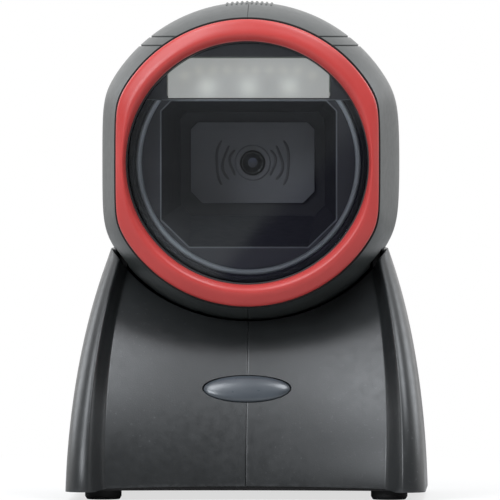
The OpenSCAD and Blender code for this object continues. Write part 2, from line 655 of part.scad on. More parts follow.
// Steel U-frame: feet on the plate, a cross bar, and an arm to each trunnion.
module tilt_yoke() color([0.62, 0.63, 0.65]) difference() {
  union() {
    both() {
      extrude_x(arm_x) polygon(yoke_arm_outline);
      rod_x(arm_x, 7, z = axis_z);
      box([28.5, -9, 8], [arm_x[1], 9, 10]);
    }
    box([-38, -8, 38], [38, 8, 40]);
  }
  rod_x([-45, 45], eye_r, z = axis_z);
  each_xy(yoke_holes) rod_z([5, 13], 1.4);
  // holes through the cross bar
  each_xy([[-22, 0], [0, 0], [22, 0]]) rod_z([30, 44], 5, fn = 48);
}
module yoke_screws() color(screw_metal)
  screws_z(yoke_holes, head = [10.03, 11.53], head_r = 2.3, shank = [4, 10.1], shank_r = 0.97);

// ------------------------------------------------------------ interface board
module interface_board() color(board_green) difference() {
  box([-19, 15, board_z[0]], [19, 44.6, board_z[1]]);
  each_xy(interface_holes) rod_z([5, 13], 1.1);
}
module interface_screws() color(screw_metal)
  screws_z(interface_holes, head = [parts_z, 10.93], head_r = 2, shank = [4, 9.7], shank_r = 0.82);
module interface_jack() color([0.16, 0.16, 0.17]) difference() {
  box([-7.8, 31, parts_z], [7.8, 47.3, 22.1]);
  // socket and the notch under it
  box([-6, 36, 12.2], [6, 50, 20.2]);
  box([-3, 38, 10.6], [3, 50, 12.4]);
}
module interface_headers() color([0.86, 0.84, 0.76]) {
  box([8, header_y, parts_z], [12.5, 30, 13.5]);
  box([-12.5, header_y, parts_z], [-8, 28, 13.5]);
}
// from the right header up beside the yoke arm to the tilt axis
base_harness_path = [[12.55, 26, 11.6], [14.2, 26, 11.6], [20, 24.5, 14], [31, 16, 22],
  [38.3, 13.2, 36], [38.3, 12.2, 48], [38.3, 9.9, 62], [38.3, 9.8, axis_z - 24],
  [37.4, 8.6, axis_z - 18], [35.4, 5.6, axis_z - 11], [33.8, 2.6, axis_z - 5],
  [33.5, 0.6, axis_z - 1.2], [32.9, 0.02, axis_z - 0.05], [32.05, 0, axis_z]];
module base_harness() color(matt_black) cable(base_harness_path, r = 1.1, ref = [0.2, 0.95, 0.25]);

// ------------------------------------------------------------ button
module button_cap() color([0.50, 0.54, 0.56, 0.9]) at_button() {
  edge = 1.9;                  // width of the rounded edge
  rim_z = -0.1;                // where the edge starts to round
  edge_h = btn_dome * 0.62;
  crown_h = btn_dome * 0.4;
  skin(concat(
    [oval_ring(btn_a, btn_b, -4.6), oval_ring(btn_a, btn_b, rim_z)],
    [for (a = [15 : 15 : 75]) let (inset = edge * (1 - cos(a)))
      oval_ring(btn_a - inset, btn_b - inset, rim_z + edge_h * sin(a))],
    [for (f = [0.8, 0.5, 0.15])
      oval_ring((btn_a - edge) * f, (btn_b - edge) * f, rim_z + edge_h + crown_h * (1 - f * f))]));
  // flange and stem
  translate([0, 0, -5.4]) linear_extrude(height = 0.85) polygon(oval(btn_a + 1.3, btn_b + 1.3));
  rod_z([-6.4, -5.2], 1.9);
}
module button_guide() color([0.11, 0.11, 0.12]) at_button() {
  difference() {
    translate([0, 0, -4.5]) linear_extrude(height = 1.1) polygon(oval(btn_a + 8.2, btn_b + 2.3));
    translate([0, 0, -6]) linear_extrude(height = 4) polygon(oval(btn_a + 0.08, btn_b + 0.08));
    each_xy(btn_holes) rod_z([-8, 0], 1);
  }
  // pillars for the board
  each_xy(btn_holes) difference() {
    rod_z([-10.9, -4.3], 2.2);
    rod_z([-12, -3], 1);
  }
}
module button_board() color(board_green) at_button() difference() {
  box([-21.5, -6, btn_board_z[0]], [21.5, 6, btn_board_z[1]]);
  each_xy(btn_holes) rod_z([-14, -6], 1);
}
module button_screws() color(screw_metal) at_button()
  screws_z(btn_holes, head = [-13.6, -12.43], head_r = 1.8, shank = [-12.6, -1.6], shank_r = 0.82);
module tact_switch() color([0.20, 0.20, 0.21]) at_button() difference() {
  box([-3, -3, btn_parts_z], [3, 3, -7.4]);
  rod_z([-9.8, -5.8], 1.75, fn = 40);
}
module switch_plunger() color([0.75, 0.25, 0.20]) at_button() rod_z([-9.1, -6.43], 1.7, fn = 40);
module status_leds() color([0.95, 0.95, 0.90]) at_button()
  for (x = [-8, 8]) box([x - 1.5, -1.4, btn_parts_z], [x + 1.5, 1.4, -9.2]);
// from behind the button board to the left header
module button_harness() color(matt_black) cable(
  [[-8, btn_y + 12.5, btn_z - 7.4], [-10, -5, 24], [-14, 8, 18], [-16.5, 20, 13],
    [-15, 24.4, 11.8], [-12.65, 24.8, 11.8]], r = 0.9);

head_shell_left();
head_shell_right();
bezel_ring();
window_frame();
frame_screws();
window_gasket();
window();
optics_mask();
mask_screws();
lamp_diffuser();
lamp_reflector();
lamp_board();
lamp_board_screws();
large_leds();
small_leds();
light_tunnel();
tunnel_screws();
camera_plate();
lens_barrel();
lens_glass();
lens_mount();
image_sensor();
camera_board();
camera_screws();
board_spacers();
decoder_board();
decoder_chips();
board_screws();
buzzer();
lamp_ribbon();
camera_flex();
head_harness();
wave_washers();
retaining_washers();
pivot_screws();
base_shell_left();
base_shell_right();
base_plate();
base_screws();
ballast_plate();
ballast_screws();
rubber_feet();
tilt_yoke();
yoke_screws();
friction_washers();
interface_board();
interface_screws();
interface_jack();
interface_headers();
base_harness();
button_cap();
button_guide();
button_board();
button_screws();
tact_switch();
switch_plunger();
status_leds();
button_harness();
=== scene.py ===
"""Desk camera: a ball-shaped tilting head with a lamp, cradled by a hollowed base.

Sizes are millimetres unless a name or comment says metres. +X is right, the face looks
along -Y, +Z is up, the feet stand on z = 0 and the head is centred on its tilt axis.
"""
import bpy, bmesh, json, math
import numpy as np
from contextlib import contextmanager
from mathutils import Vector, Matrix


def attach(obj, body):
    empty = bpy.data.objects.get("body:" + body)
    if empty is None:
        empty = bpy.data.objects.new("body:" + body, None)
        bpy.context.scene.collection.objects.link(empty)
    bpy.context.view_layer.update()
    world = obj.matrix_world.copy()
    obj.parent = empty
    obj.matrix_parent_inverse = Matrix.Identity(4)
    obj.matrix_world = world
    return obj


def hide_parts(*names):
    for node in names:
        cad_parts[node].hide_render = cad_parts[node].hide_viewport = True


MM = 0.001                       # metres in a millimetre
AXIS_Z = 101.0                   # height of the tilt axis
HEAD_CENTRE = (0, 0, AXIS_Z)


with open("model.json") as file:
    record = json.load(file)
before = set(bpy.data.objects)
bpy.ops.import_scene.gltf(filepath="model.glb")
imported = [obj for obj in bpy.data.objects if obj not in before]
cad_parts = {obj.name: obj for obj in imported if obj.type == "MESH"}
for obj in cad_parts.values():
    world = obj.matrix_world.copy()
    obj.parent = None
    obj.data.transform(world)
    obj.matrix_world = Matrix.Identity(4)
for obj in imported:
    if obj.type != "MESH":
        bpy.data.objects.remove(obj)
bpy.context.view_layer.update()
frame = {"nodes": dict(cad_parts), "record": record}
nodes = frame["nodes"]


# ------------------------------------------------------------------ mesh helpers
@contextmanager
def editing(mesh):
    """Open a mesh as a BMesh and write it back afterwards."""
    bm = bmesh.new()
    bm.from_mesh(mesh)
    yield bm
    bm.to_mesh(mesh)
    bm.free()


def link(ob):
    bpy.context.scene.collection.objects.link(ob)
    return ob


def smooth(ob, angle):
    """Smooth shading, with edges sharper than the angle (degrees) marked sharp."""
    limit = math.radians(angle)
    with editing(ob.data) as bm:
        for edge in bm.edges:
            edge.smooth = not (len(edge.link_faces) == 2 and edge.calc_face_angle(0) > limit)
        for face in bm.faces:
            face.smooth = True


def mesh_obj(name, verts, faces, sharp=32, merge=0.002):
    """Object from millimetre vertices, with doubles merged and sharp edges marked by angle."""
    mesh = bpy.data.meshes.new(name)
    mesh.from_pydata([[c * MM for c in v] for v in verts], [], faces)
    mesh.update()
    ob = link(bpy.data.objects.new(name, mesh))
    with editing(mesh) as bm:
        bmesh.ops.remove_doubles(bm, verts=bm.verts, dist=merge * MM)
        bmesh.ops.recalc_face_normals(bm, faces=bm.faces)
    smooth(ob, sharp)
    return ob


def face_outward(mesh, centre):
    """Flip every face if most of them look towards the centre (metres)."""
    with editing(mesh) as bm:
        outward = sum(f.normal.dot(f.calc_center_median() - centre) > 0 for f in bm.faces)
        if outward < len(bm.faces) / 2:
            bmesh.ops.reverse_faces(bm, faces=bm.faces[:])


def grid_faces(rows, columns):
    """Quads of an open grid of vertices stored row by row."""
    faces = []
    for i in range(rows - 1):
        for j in range(columns - 1):
            a = i * columns + j
            b = a + columns
            faces.append((a, b, b + 1, a + 1))
    return faces


def loft_faces(rings, points, closed=False):
    """Quads between neighbouring rings of points; closed joins the last ring to the first."""
    faces = []
    for i in range(rings if closed else rings - 1):
        near, far = i * points, (i + 1) % rings * points
        for j in range(points):
            k = (j + 1) % points
            faces.append((near + j, near + k, far + k, far + j))
    return faces


def end_caps(rings, points):
    last = (rings - 1) * points
    return [tuple(range(points)), tuple(range(last + points - 1, last - 1, -1))]


def loft(name, rings, closed=True, sharp=32):
    """Skin over rings of points, either joined end to end or capped."""
    count, points = len(rings), len(rings[0])
    faces = loft_faces(count, points, closed)
    if not closed:
        faces += end_caps(count, points)
    return mesh_obj(name, [p for ring in rings for p in ring], faces, sharp)


def apply_mods(ob):
    bpy.context.view_layer.update()
    depsgraph = bpy.context.evaluated_depsgraph_get()
    mesh = bpy.data.meshes.new_from_object(ob.evaluated_get(depsgraph))
    ob.modifiers.clear()
    old = ob.data
    ob.data = mesh
    bpy.data.meshes.remove(old)


def thicken(ob, wall, edge):
    """Give a surface a wall on its inner side, then bevel the wall's edges."""
    mod = ob.modifiers.new("wall", "SOLIDIFY")
    mod.thickness = wall * MM
    mod.offset = -1
    mod.use_even_offset = True
    mod.use_rim = True
    apply_mods(ob)
    mod = ob.modifiers.new("edge", "BEVEL")
    mod.width = edge * MM
    mod.segments = 3
    mod.limit_method = "ANGLE"
    mod.angle_limit = math.radians(50)
    mod.use_clamp_overlap = True
    mod.miter_outer = "MITER_ARC"
    apply_mods(ob)


def box_tool(centre, size):
    bpy.ops.mesh.primitive_cube_add(size=1, location=[c * MM for c in centre])
    ob = bpy.context.object
    ob.scale = [c * MM for c in size]
    bpy.context.view_layer.update()
    return ob


def cut(ob, *tools):
    for tool in tools:
        mod = ob.modifiers.new("cut", "BOOLEAN")
        mod.operation = "DIFFERENCE"
        mod.solver = "EXACT"
        mod.object = tool
        apply_mods(ob)
    for tool in tools:
        bpy.data.objects.remove(tool)


def join(name, obs):
    """One object from several, keeping only their geometry."""
    bm = bmesh.new()
    for ob in obs:
        bm.from_mesh(ob.data)
    mesh = bpy.data.meshes.new(name)
    bm.to_mesh(mesh)
    bm.free()
    for ob in obs:
        bpy.data.objects.remove(ob)
    return link(bpy.data.objects.new(name, mesh))


# ------------------------------------------------------------------ shape helpers
def turn(steps):
    """Angles of one full turn."""
    return [2 * math.pi * k / steps for k in range(steps)]


def clamp(x, limit):
    return max(-limit, min(limit, x))


def face_point(radius, angle, y):
    """Point round the axis through the middle of the head's face."""
    return radius * math.cos(angle), y, AXIS_Z + radius * math.sin(angle)


def circle(radius, steps, flat=math.inf):
    """Circle in x and z, cut straight where |x| reaches flat."""
    return [(clamp(radius * math.cos(a), flat), radius * math.sin(a)) for a in turn(steps)]


def rounded(outline, radius=0.25, steps=4):
    """Closed 2-D loop with rounded corners; a third column overrides a corner's radius."""
    points = [np.array(q[:2], float) for q in outline]
    radii = [q[2] if len(q) > 2 else radius for q in outline]
    loop = []
    for i, corner in enumerate(points):
        if radii[i] <= 0:
            loop.append(tuple(corner))
            continue
        back, ahead = points[i - 1] - corner, points[(i + 1) % len(points)] - corner
        back_len, ahead_len = np.linalg.norm(back), np.linalg.norm(ahead)
        back /= back_len
        ahead /= ahead_len
        angle = math.acos(back @ ahead)
        reach = min(radii[i] / math.tan(angle / 2), back_len * 0.45, ahead_len * 0.45)
        start, end = corner + back * reach, corner + ahead * reach
        for k in range(steps + 1):
            t = k / steps
            loop.append(tuple((1 - t) ** 2 * start + 2 * t * (1 - t) * corner + t * t * end))
    return loop


def lathe(name, profile, steps, centre=HEAD_CENTRE, upright=False, flat=math.inf):
    """Revolve a closed (radius, offset) profile about Y, or about Z when upright."""
    rings = []
    for a in turn(steps):
        ring = []
        for radius, offset in profile:
            across, up = clamp(radius * math.cos(a), flat), radius * math.sin(a)
            point = (across, up, offset) if upright else (across, offset, up)
            ring.append([c + p for c, p in zip(centre, point)])
        rings.append(ring)
    return loft(name, rings)


def arc(name, profile, top, steps=220):
    """Revolve (radius, y) about the face's axis, below the height top over the axis."""
    rings = []
    for k in range(steps):
        ring = []
        for radius, y in profile:
            rise = math.asin(top / radius)
            angle = math.pi - rise + (math.pi + 2 * rise) * k / (steps - 1)
            ring.append(face_point(radius, angle, y))
        rings.append(ring)
    return loft(name, rings, closed=False, sharp=50)


def plate(name, loops, front, back, edge, centre_z=AXIS_Z):
    """Flat plate from (x, z) loops, outer one first, between two y places, rims bevelled."""
    curve = bpy.data.curves.new(name, "CURVE")
    curve.dimensions = "2D"
    curve.fill_mode = "BOTH"
    curve.extrude = ((back - front) / 2 - edge) * MM
    curve.bevel_depth = edge * MM
    curve.bevel_resolution = 2
    curve.offset = -edge * MM
    for loop in loops:
        spline = curve.splines.new("POLY")
        spline.points.add(len(loop) - 1)
        spline.use_cyclic_u = True
        for point, (x, z) in zip(spline.points, loop):
            point.co = (x * MM, z * MM, 0, 1)
    outline = link(bpy.data.objects.new(name + "_c", curve))
    bpy.context.view_layer.update()
    depsgraph = bpy.context.evaluated_depsgraph_get()
    mesh = bpy.data.meshes.new_from_object(outline.evaluated_get(depsgraph))
    bpy.data.objects.remove(outline)
    mesh.name = name
    place = Matrix.Translation((0, (front + back) / 2 * MM, centre_z * MM))
    mesh.transform(place @ Matrix.Rotation(math.radians(90), 4, "X"))
    ob = link(bpy.data.objects.new(name, mesh))
    with editing(mesh) as bm:
        bmesh.ops.remove_doubles(bm, verts=bm.verts, dist=1e-6)
        bmesh.ops.recalc_face_normals(bm, faces=bm.faces)
    smooth(ob, 30)
    return ob


def bar(name, path, normals, half_width, height, sink, taper):
    """Half-round bar along a path on a surface, fading out over taper points at each end."""
    segments, count = 6, len(path)
    tangents = np.gradient(path, axis=0)
    tangents /= np.linalg.norm(tangents, axis=1)[:, None]
    sides = np.cross(tangents, normals)
    sides /= np.linalg.norm(sides, axis=1)[:, None]
    rings = []
    for i in range(count):
        along = min(1.0, min(i, count - 1 - i) / taper)
        swell = math.sqrt(1 - (1 - along) ** 2)
        half = half_width * (0.35 + 0.65 * swell)
        section = [(-half, -sink)]
        for k in range(segments + 1):
            a = math.pi * k / segments
            section.append((-half * math.cos(a), height * swell * math.sin(a) ** 0.8))
        section.append((half, -sink))
        rings.append([path[i] + sides[i] * s + normals[i] * h for s, h in section])
    return loft(name, rings, closed=False, sharp=50)


# ------------------------------------------------------------------ material helpers
class Graph:
    """Shader node tree with short ways to add and link nodes."""

    def __init__(self, tree):
        self.tree = tree
        self.coords = self.add("TexCoord").outputs

    def plug(self, socket, value):
        """Link a socket, or set its value; colours are given as three numbers."""
        if isinstance(value, bpy.types.NodeSocket):
            self.tree.links.new(value, socket)
        elif socket.type == "RGBA":
            socket.default_value = (*value, 1)
        else:
            socket.default_value = value

    def add(self, kind, inputs={}, **settings):
        node = self.tree.nodes.new("ShaderNode" + kind)
        for key, value in settings.items():
            setattr(node, key, value)
        for key, value in inputs.items():
            self.plug(node.inputs[key], value)
        return node

    def noise(self, scale, detail=3, roughness=0.55, stretch=None):
        node = self.add("TexNoise", {"Scale": scale, "Detail": detail, "Roughness": roughness})
        vector = self.coords["Object"]
        if stretch:
            vector = self.add("Mapping", {"Vector": vector, "Scale": stretch}).outputs[0]
        self.plug(node.inputs["Vector"], vector)
        return node.outputs[0]

    def remap(self, source, to_min, to_max, from_min=0.3, from_max=0.7):
        return self.add("MapRange", {
            "Value": source, "From Min": from_min, "From Max": from_max,
            "To Min": to_min, "To Max": to_max}).outputs[0]

    def math(self, operation, first, second=None):
        inputs = {0: first} if second is None else {0: first, 1: second}
        return self.add("Math", inputs, operation=operation).outputs[0]

    def mix(self, factor, first, second, blend="MIX"):
        # sockets 6 and 7 and output 2 are the colour ones
        node = self.add("Mix", data_type="RGBA", blend_type=blend)
        for index, value in ((0, factor), (6, first), (7, second)):
            self.plug(node.inputs[index], value)
        return node.outputs[2]

    def bump(self, height, strength):
        inputs = {"Height": height, "Strength": strength, "Distance": 0.0002}
        return self.add("Bump", inputs).outputs[0]


def new_material(name):
    """Empty material, its graph and the output's surface socket."""
    material = bpy.data.materials.new(name)
    material.use_nodes = True
    material.node_tree.nodes.clear()
    graph = Graph(material.node_tree)
    return material, graph, graph.add("OutputMaterial").inputs["Surface"]


def surface(name, colour, roughness, mottle, grain, bump, gloss, metallic=0.0, dust=0.0,
            wear=0.0, coat=0.0, coat_roughness=0.1, subsurface=0.0, stretch=None):
    """Plastic, rubber or metal: mottled colour, uneven gloss, fine grain, lighter worn edges."""
    material, graph, output = new_material(name)
    broad = graph.noise(scale=55, detail=4)
    medium = graph.noise(scale=420)
    fine = graph.noise(scale=grain, detail=2, roughness=0.6, stretch=stretch)
    shade = graph.mix(graph.remap(broad, 0, 1),
                      [c * (1 - mottle) for c in colour],
                      [min(1, c * (1 + mottle) + 0.002) for c in colour])
    if wear > 0:
        pointiness = graph.add("NewGeometry").outputs["Pointiness"]
        edges = graph.remap(pointiness, 0, wear, from_min=0.53, from_max=0.60)
        patches = graph.remap(medium, 0, 1, from_min=0.42, from_max=0.62)
        worn = [min(1, c * 1.7 + 0.05) for c in colour]
        shade = graph.mix(graph.math("MULTIPLY", edges, patches), shade, worn)
    if dust > 0:
        speck_noise = graph.noise(scale=950, detail=5, roughness=0.7)
        patch_noise = graph.noise(scale=28, detail=2)
        specks = graph.remap(speck_noise, 0, dust, from_min=0.60, from_max=0.74)
        patches = graph.remap(patch_noise, 0.1, 1, from_min=0.42, from_max=0.62)
        shade = graph.mix(graph.math("MULTIPLY", specks, patches), shade, (0.20, 0.20, 0.21))
    inputs = {
        "Base Color": shade,
        "Roughness": graph.math("ADD", graph.remap(medium, -gloss, gloss), roughness),
        "Metallic": metallic,
        "Coat Weight": coat,
        "Coat Roughness": coat_roughness,
        "Normal": graph.bump(fine, bump),
    }
    if subsurface:
        inputs.update({"Subsurface Weight": subsurface, "Subsurface Scale": 0.002})
    graph.plug(output, graph.add("BsdfPrincipled", inputs).outputs[0])
    return material


def pane_material(name, tint, ior, roughness, fade=False):
    """Clear pane: see-through, with a Fresnel reflection over it and faint smudges; with fade, a
    painted reflection darkens towards the lower right.
    """
    material, graph, output = new_material(name)
    clear = graph.add("BsdfTransparent", {"Color": tint})
    gloss = graph.add("BsdfGlossy", {"Color": (1, 1, 1)})
    if fade:
        # painted reflection: the gloss colour turns from pale blue-white to dark blue-grey
        # towards the lower right, across a soft diagonal, standing in for the studio's
        # reflections
        place = graph.add("SeparateXYZ", {0: graph.coords["Object"]}).outputs
        diagonal = graph.math("SUBTRACT", place["X"], place["Z"])
        wobble = graph.noise(scale=60)
        diagonal = graph.math("ADD", diagonal, graph.remap(wobble, -0.003, 0.003))
        factor = graph.remap(diagonal, 0, 1, from_min=-0.081, from_max=-0.073)
        painted_reflection_tint = graph.mix(factor, (0.90, 0.95, 1.0), (0.22, 0.22, 0.34))
        graph.plug(gloss.inputs["Color"], painted_reflection_tint)
    smudges = graph.remap(graph.noise(scale=90, detail=5), roughness * 0.7, roughness * 1.6)
    graph.plug(gloss.inputs["Roughness"], smudges)
    fresnel = graph.add("Fresnel", {"IOR": ior}).outputs[0]
    mixed = graph.add("MixShader", {0: fresnel, 1: clear.outputs[0], 2: gloss.outputs[0]})
    graph.plug(output, mixed.outputs[0])
    return material


# lamp places behind the diffuser: (x, height over the tilt axis)
LARGE_LAMPS = [(x, 22.9) for x in (-12.45, 0.0, 12.45)]
SMALL_PITCH = 4.3
# a row of ten, with the two end lamps lower
SMALL_LAMPS = [((i - 4.5) * SMALL_PITCH, 28.0 if abs(i - 4.5) < 4 else 26.3) for i in range(10)]


def diffuser_material():
    """Milky plastic lit by painted glow: an even emission stands in for the light on the shaded
    diffuser, with brighter painted spots in front of each lamp.
    """
    material, graph, output = new_material("diffuser_milky")
    flattened = graph.add("VectorMath", {0: graph.coords["Object"], 1: (1, 0, 1)},
                          operation="MULTIPLY").outputs[0]

    def painted_glow(lamps, spread):
        """Sum of exp(-(distance / spread) ** 2) over the lamps."""
        total = None
        for x, z in lamps:
            lamp = (x * MM, 0, (AXIS_Z + z) * MM)
            distance = graph.add("VectorMath", {0: flattened, 1: lamp}, operation="DISTANCE")
            ratio = graph.math("DIVIDE", distance.outputs["Value"], spread * MM)
            squared = graph.math("POWER", ratio, 2)
            spot = graph.math("EXPONENT", graph.math("MULTIPLY", squared, -1))
            total = spot if total is None else graph.math("ADD", total, spot)
        return total

    large = painted_glow(LARGE_LAMPS, spread=3.0)
    small = painted_glow(SMALL_LAMPS, spread=1.5)
    cloud = graph.remap(graph.noise(scale=160, detail=4), 0, 1)
    bsdf = graph.add("BsdfPrincipled", {
        "Base Color": graph.mix(cloud, (0.24, 0.24, 0.243), (0.28, 0.28, 0.28)),
        "Roughness": 0.38,
        "Subsurface Weight": 0.15,
        "Subsurface Scale": 0.002,
        # painted light: this emission makes the diffuser look lit; the lamps behind it give no
        # light
        "Emission Color": graph.mix(
            1,
            graph.mix(large, (0.36, 0.362, 0.345), (0.56, 0.57, 0.53)),
            graph.mix(small, (0, 0, 0), (0.07, 0.065, 0.045)),
            blend="ADD"),
        "Emission Strength": 0.95,
        "Normal": graph.bump(graph.noise(scale=2500, detail=2), strength=0.06),
    })
    graph.plug(output, bsdf.outputs[0])
    return material


# ------------------------------------------------------------------ materials
# key: material name, colour, roughness, colour mottle, grain scale, bump, gloss change, extras
SURFACES = {
    "shell_black": ("shell_satin_black", (0.040, 0.046, 0.045), 0.38, 0.10, 3400, 0.10, 0.04,
                    dict(wear=0.25, coat=0.50, coat_roughness=0.36)),
    "shell_base": ("shell_satin_black_base", (0.019, 0.021, 0.022), 0.35, 0.16, 3000, 0.14, 0.06,
                   dict(dust=0.35, wear=0.25, coat=0.45, coat_roughness=0.30)),
    "bezel_coral": ("bezel_coral", (0.61, 0.058, 0.053), 0.36, 0.05, 2600, 0.03, 0.04,
                    dict(coat=0.15, wear=0.10, subsurface=0.03, coat_roughness=0.30)),
    "frame_black": ("frame_black", (0.026, 0.025, 0.026), 0.45, 0.15, 5200, 0.03, 0.06, {}),
    "mask_charcoal": ("mask_charcoal", (0.066, 0.064, 0.074), 0.55, 0.10, 6500, 0.02, 0.05, {}),
    # near-black: the painted shadow strip round the ring wears it, and so does the seam tongue
    # inside the base
    "gap_black": ("gap_black", (0.010, 0.008, 0.008), 0.7, 0.1, 2000, 0.02, 0.05, {}),
    # painted highlight: lightened grey standing in for the light on the octagon's raised rim and
    # the step line
    "rim_painted_light_grey": ("rim_painted_light_grey", (0.30, 0.31, 0.33), 0.45, 0.1, 2600, 0.04, 0.05, {}),
    "ripple_charcoal": ("ripple_charcoal", (0.115, 0.114, 0.125), 0.5, 0.1, 2600, 0.04, 0.05, {}),
    # painted highlight: the lip's grey is lightened far beyond the mask's to stand in for the
    # light it catches
    "lip_painted_light_grey": ("lip_painted_light_grey", (0.74, 0.77, 0.80), 0.38, 0.08, 5200, 0.02, 0.05, {}),
    "tunnel_black": ("tunnel_black", (0.024, 0.023, 0.028), 0.62, 0.15, 5200, 0.03, 0.05, {}),
    "camera_charcoal": ("camera_charcoal", (0.24, 0.24, 0.262), 0.50, 0.08, 5200, 0.02, 0.05, {}),
    "reflector_white": ("reflector_white", (0.80, 0.80, 0.78), 0.35, 0.04, 1800, 0.05, 0.06, {}),
    "pcb": ("pcb_green", (0.015, 0.10, 0.045), 0.35, 0.25, 1500, 0.10, 0.06, dict(coat=0.3)),
    "led": ("led_phosphor", (0.90, 0.80, 0.45), 0.30, 0.08, 1500, 0.03, 0.06, {}),
    "steel": ("zinc_steel", (0.52, 0.53, 0.55), 0.32, 0.12, 900, 0.10, 0.08,
              dict(metallic=1.0, stretch=(1, 1, 14))),
    "yoke_black": ("yoke_e_coat", (0.018, 0.018, 0.019), 0.45, 0.2, 1800, 0.15, 0.06,
                   dict(wear=0.3)),
    "brass": ("brass_spacer", (0.62, 0.46, 0.18), 0.30, 0.10, 1200, 0.06, 0.06,
              dict(metallic=1.0)),
    "chip": ("epoxy_black", (0.020, 0.020, 0.022), 0.55, 0.15, 2200, 0.2, 0.06, {}),
    "lens_black": ("lens_anodised", (0.012, 0.012, 0.013), 0.35, 0.2, 2600, 0.08, 0.06,
                   dict(metallic=0.2)),
    "rubber_black": ("foot_rubber", (0.016, 0.016, 0.016), 0.75, 0.2, 1800, 0.3, 0.05, {}),
    "cable_black": ("cable_sheath", (0.018, 0.018, 0.02), 0.6, 0.2, 1400, 0.2, 0.06, {}),
    "ribbon": ("ribbon_grey", (0.50, 0.48, 0.43), 0.5, 0.06, 900, 0.2, 0.06,
               dict(stretch=(9, 1, 1))),
    "flex": ("flex_amber", (0.40, 0.20, 0.045), 0.3, 0.12, 900, 0.05, 0.06, {}),
    "washer_nylon": ("washer_acetal", (0.72, 0.69, 0.56), 0.4, 0.06, 1600, 0.06, 0.06,
                     dict(subsurface=0.2)),
    "connector": ("connector_ivory", (0.74, 0.71, 0.60), 0.45, 0.06, 1600, 0.08, 0.06, {}),
    "plunger_red": ("plunger_red", (0.42, 0.05, 0.03), 0.4, 0.1, 1600, 0.08, 0.06, {}),
    "button_smoke": ("button_smoked", (0.066, 0.078, 0.092), 0.30, 0.25, 1500, 0.01, 0.03,
                     dict(coat=0.7, coat_roughness=0.20)),
}
materials = {key: surface(*row, **extras) for key, (*row, extras) in SURFACES.items()}
# painted reflection: fade darkens the window's reflection towards the lower right
materials["window_clear"] = pane_material(
    "window_clear", tint=(0.93, 0.94, 0.95), ior=1.5, roughness=0.05, fade=True)
materials["lens"] = pane_material(
    "lens_coated", tint=(0.55, 0.62, 0.85), ior=1.9, roughness=0.03)
materials["diffuser"] = diffuser_material()


def paint(ob, material):
    ob.data.materials.clear()
    ob.data.materials.append(material)


def paint_cad():
    """Material for every CAD piece, by its slot unless the piece has its own."""
    slots = {part["node"]: part["material_slot"] for part in frame["record"]["subparts"]}
    own = {"light_tunnel": "tunnel_black", "tilt_yoke": "yoke_black"}
    for name, ob in nodes.items():
        paint(ob, materials.get(own.get(name, slots[name]), materials["chip"]))


def piece(ob, body, slot, node, material=None):
    """Finish an object that stands in for a CAD node; material overrides the slot's own."""
    paint(ob, materials[material or slot])
    for polygon in ob.data.polygons:
        polygon.material_index = 0
    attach(ob, body)
    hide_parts(node)


paint_cad()

# ------------------------------------------------------------------ head shells
BALL_R = 48.6
DISC_X = 45.4                    # flat disc on each side of the ball
FACE_Y = -23.5                   # open face of the head
CHEEK_X = 39.6                   # half width at the face, where the sloping cheeks start
CHEEK_END_Y = 5.0                # where the cheeks reach the discs
CHEEK_SLOPE = (DISC_X - CHEEK_X) / (CHEEK_END_Y - FACE_Y)
CHEEK_REACH = CHEEK_X - CHEEK_SLOPE * FACE_Y
BLEND = 64.0                     # higher makes the edges between the surfaces crisper
SEAM_HALF = 0.07                 # half the gap between the two halves
GROOVE_DEPTH = 0.45
# height over the tilt axis, and whether the row lies in one of the two grooves
GROOVE_ROWS = [
    (38.8, 0), (38.5, 0), (38.34, 0), (38.22, 1), (37.98, 1), (37.86, 0), (37.6, 0),
    (36.6, 0), (35.8, 0), (35.64, 0), (35.52, 1), (35.28, 1), (35.16, 0), (34.9, 0),
]
# opening for the yoke arm: range of |x|, angles from straight down towards the back, radius
ARM_X = (36.6, 40.4)
ARM_ANGLES = (-16, 40)
ARM_RADIUS = 33


def head_radius(direction):
    """Distance from the tilt axis's centre to the blend of ball, disc and cheek."""
    x = np.abs(direction[..., 0])
    cheek = np.maximum(0, x - CHEEK_SLOPE * direction[..., 1]) / CHEEK_REACH
    return ((1 / BALL_R) ** BLEND + (x / DISC_X) ** BLEND + cheek ** BLEND) ** (-1 / BLEND)


def head_surface(side, name):
    """Half ball centred on the origin, as rows of points from the crown down."""
    heights = np.linspace(BALL_R, GROOVE_ROWS[0][0], 26)[:-1]
    rows = [(math.acos(z / BALL_R), 0) for z in heights]
    rows += [(math.acos(z / BALL_R), groove) for z, groove in GROOVE_ROWS]
    rows += [(tilt, 0) for tilt in np.linspace(rows[-1][0], math.pi, 150)[1:]]
    count = 150
    turns = np.linspace(-math.pi / 2, math.pi / 2, count)
    verts = []
    for tilt, groove in rows:
        direction = np.stack([math.sin(tilt) * np.cos(turns) * side,
                              math.sin(tilt) * np.sin(turns),
                              np.full(count, math.cos(tilt))], -1)
        radius = head_radius(direction) - GROOVE_DEPTH * groove
        verts.append(direction * radius[:, None])
    faces = grid_faces(len(rows), count)
    return mesh_obj(name, np.concatenate(verts), faces, sharp=25, merge=0.01)


def centre_mm(face):
    return [c / MM for c in face.calc_center_median()]


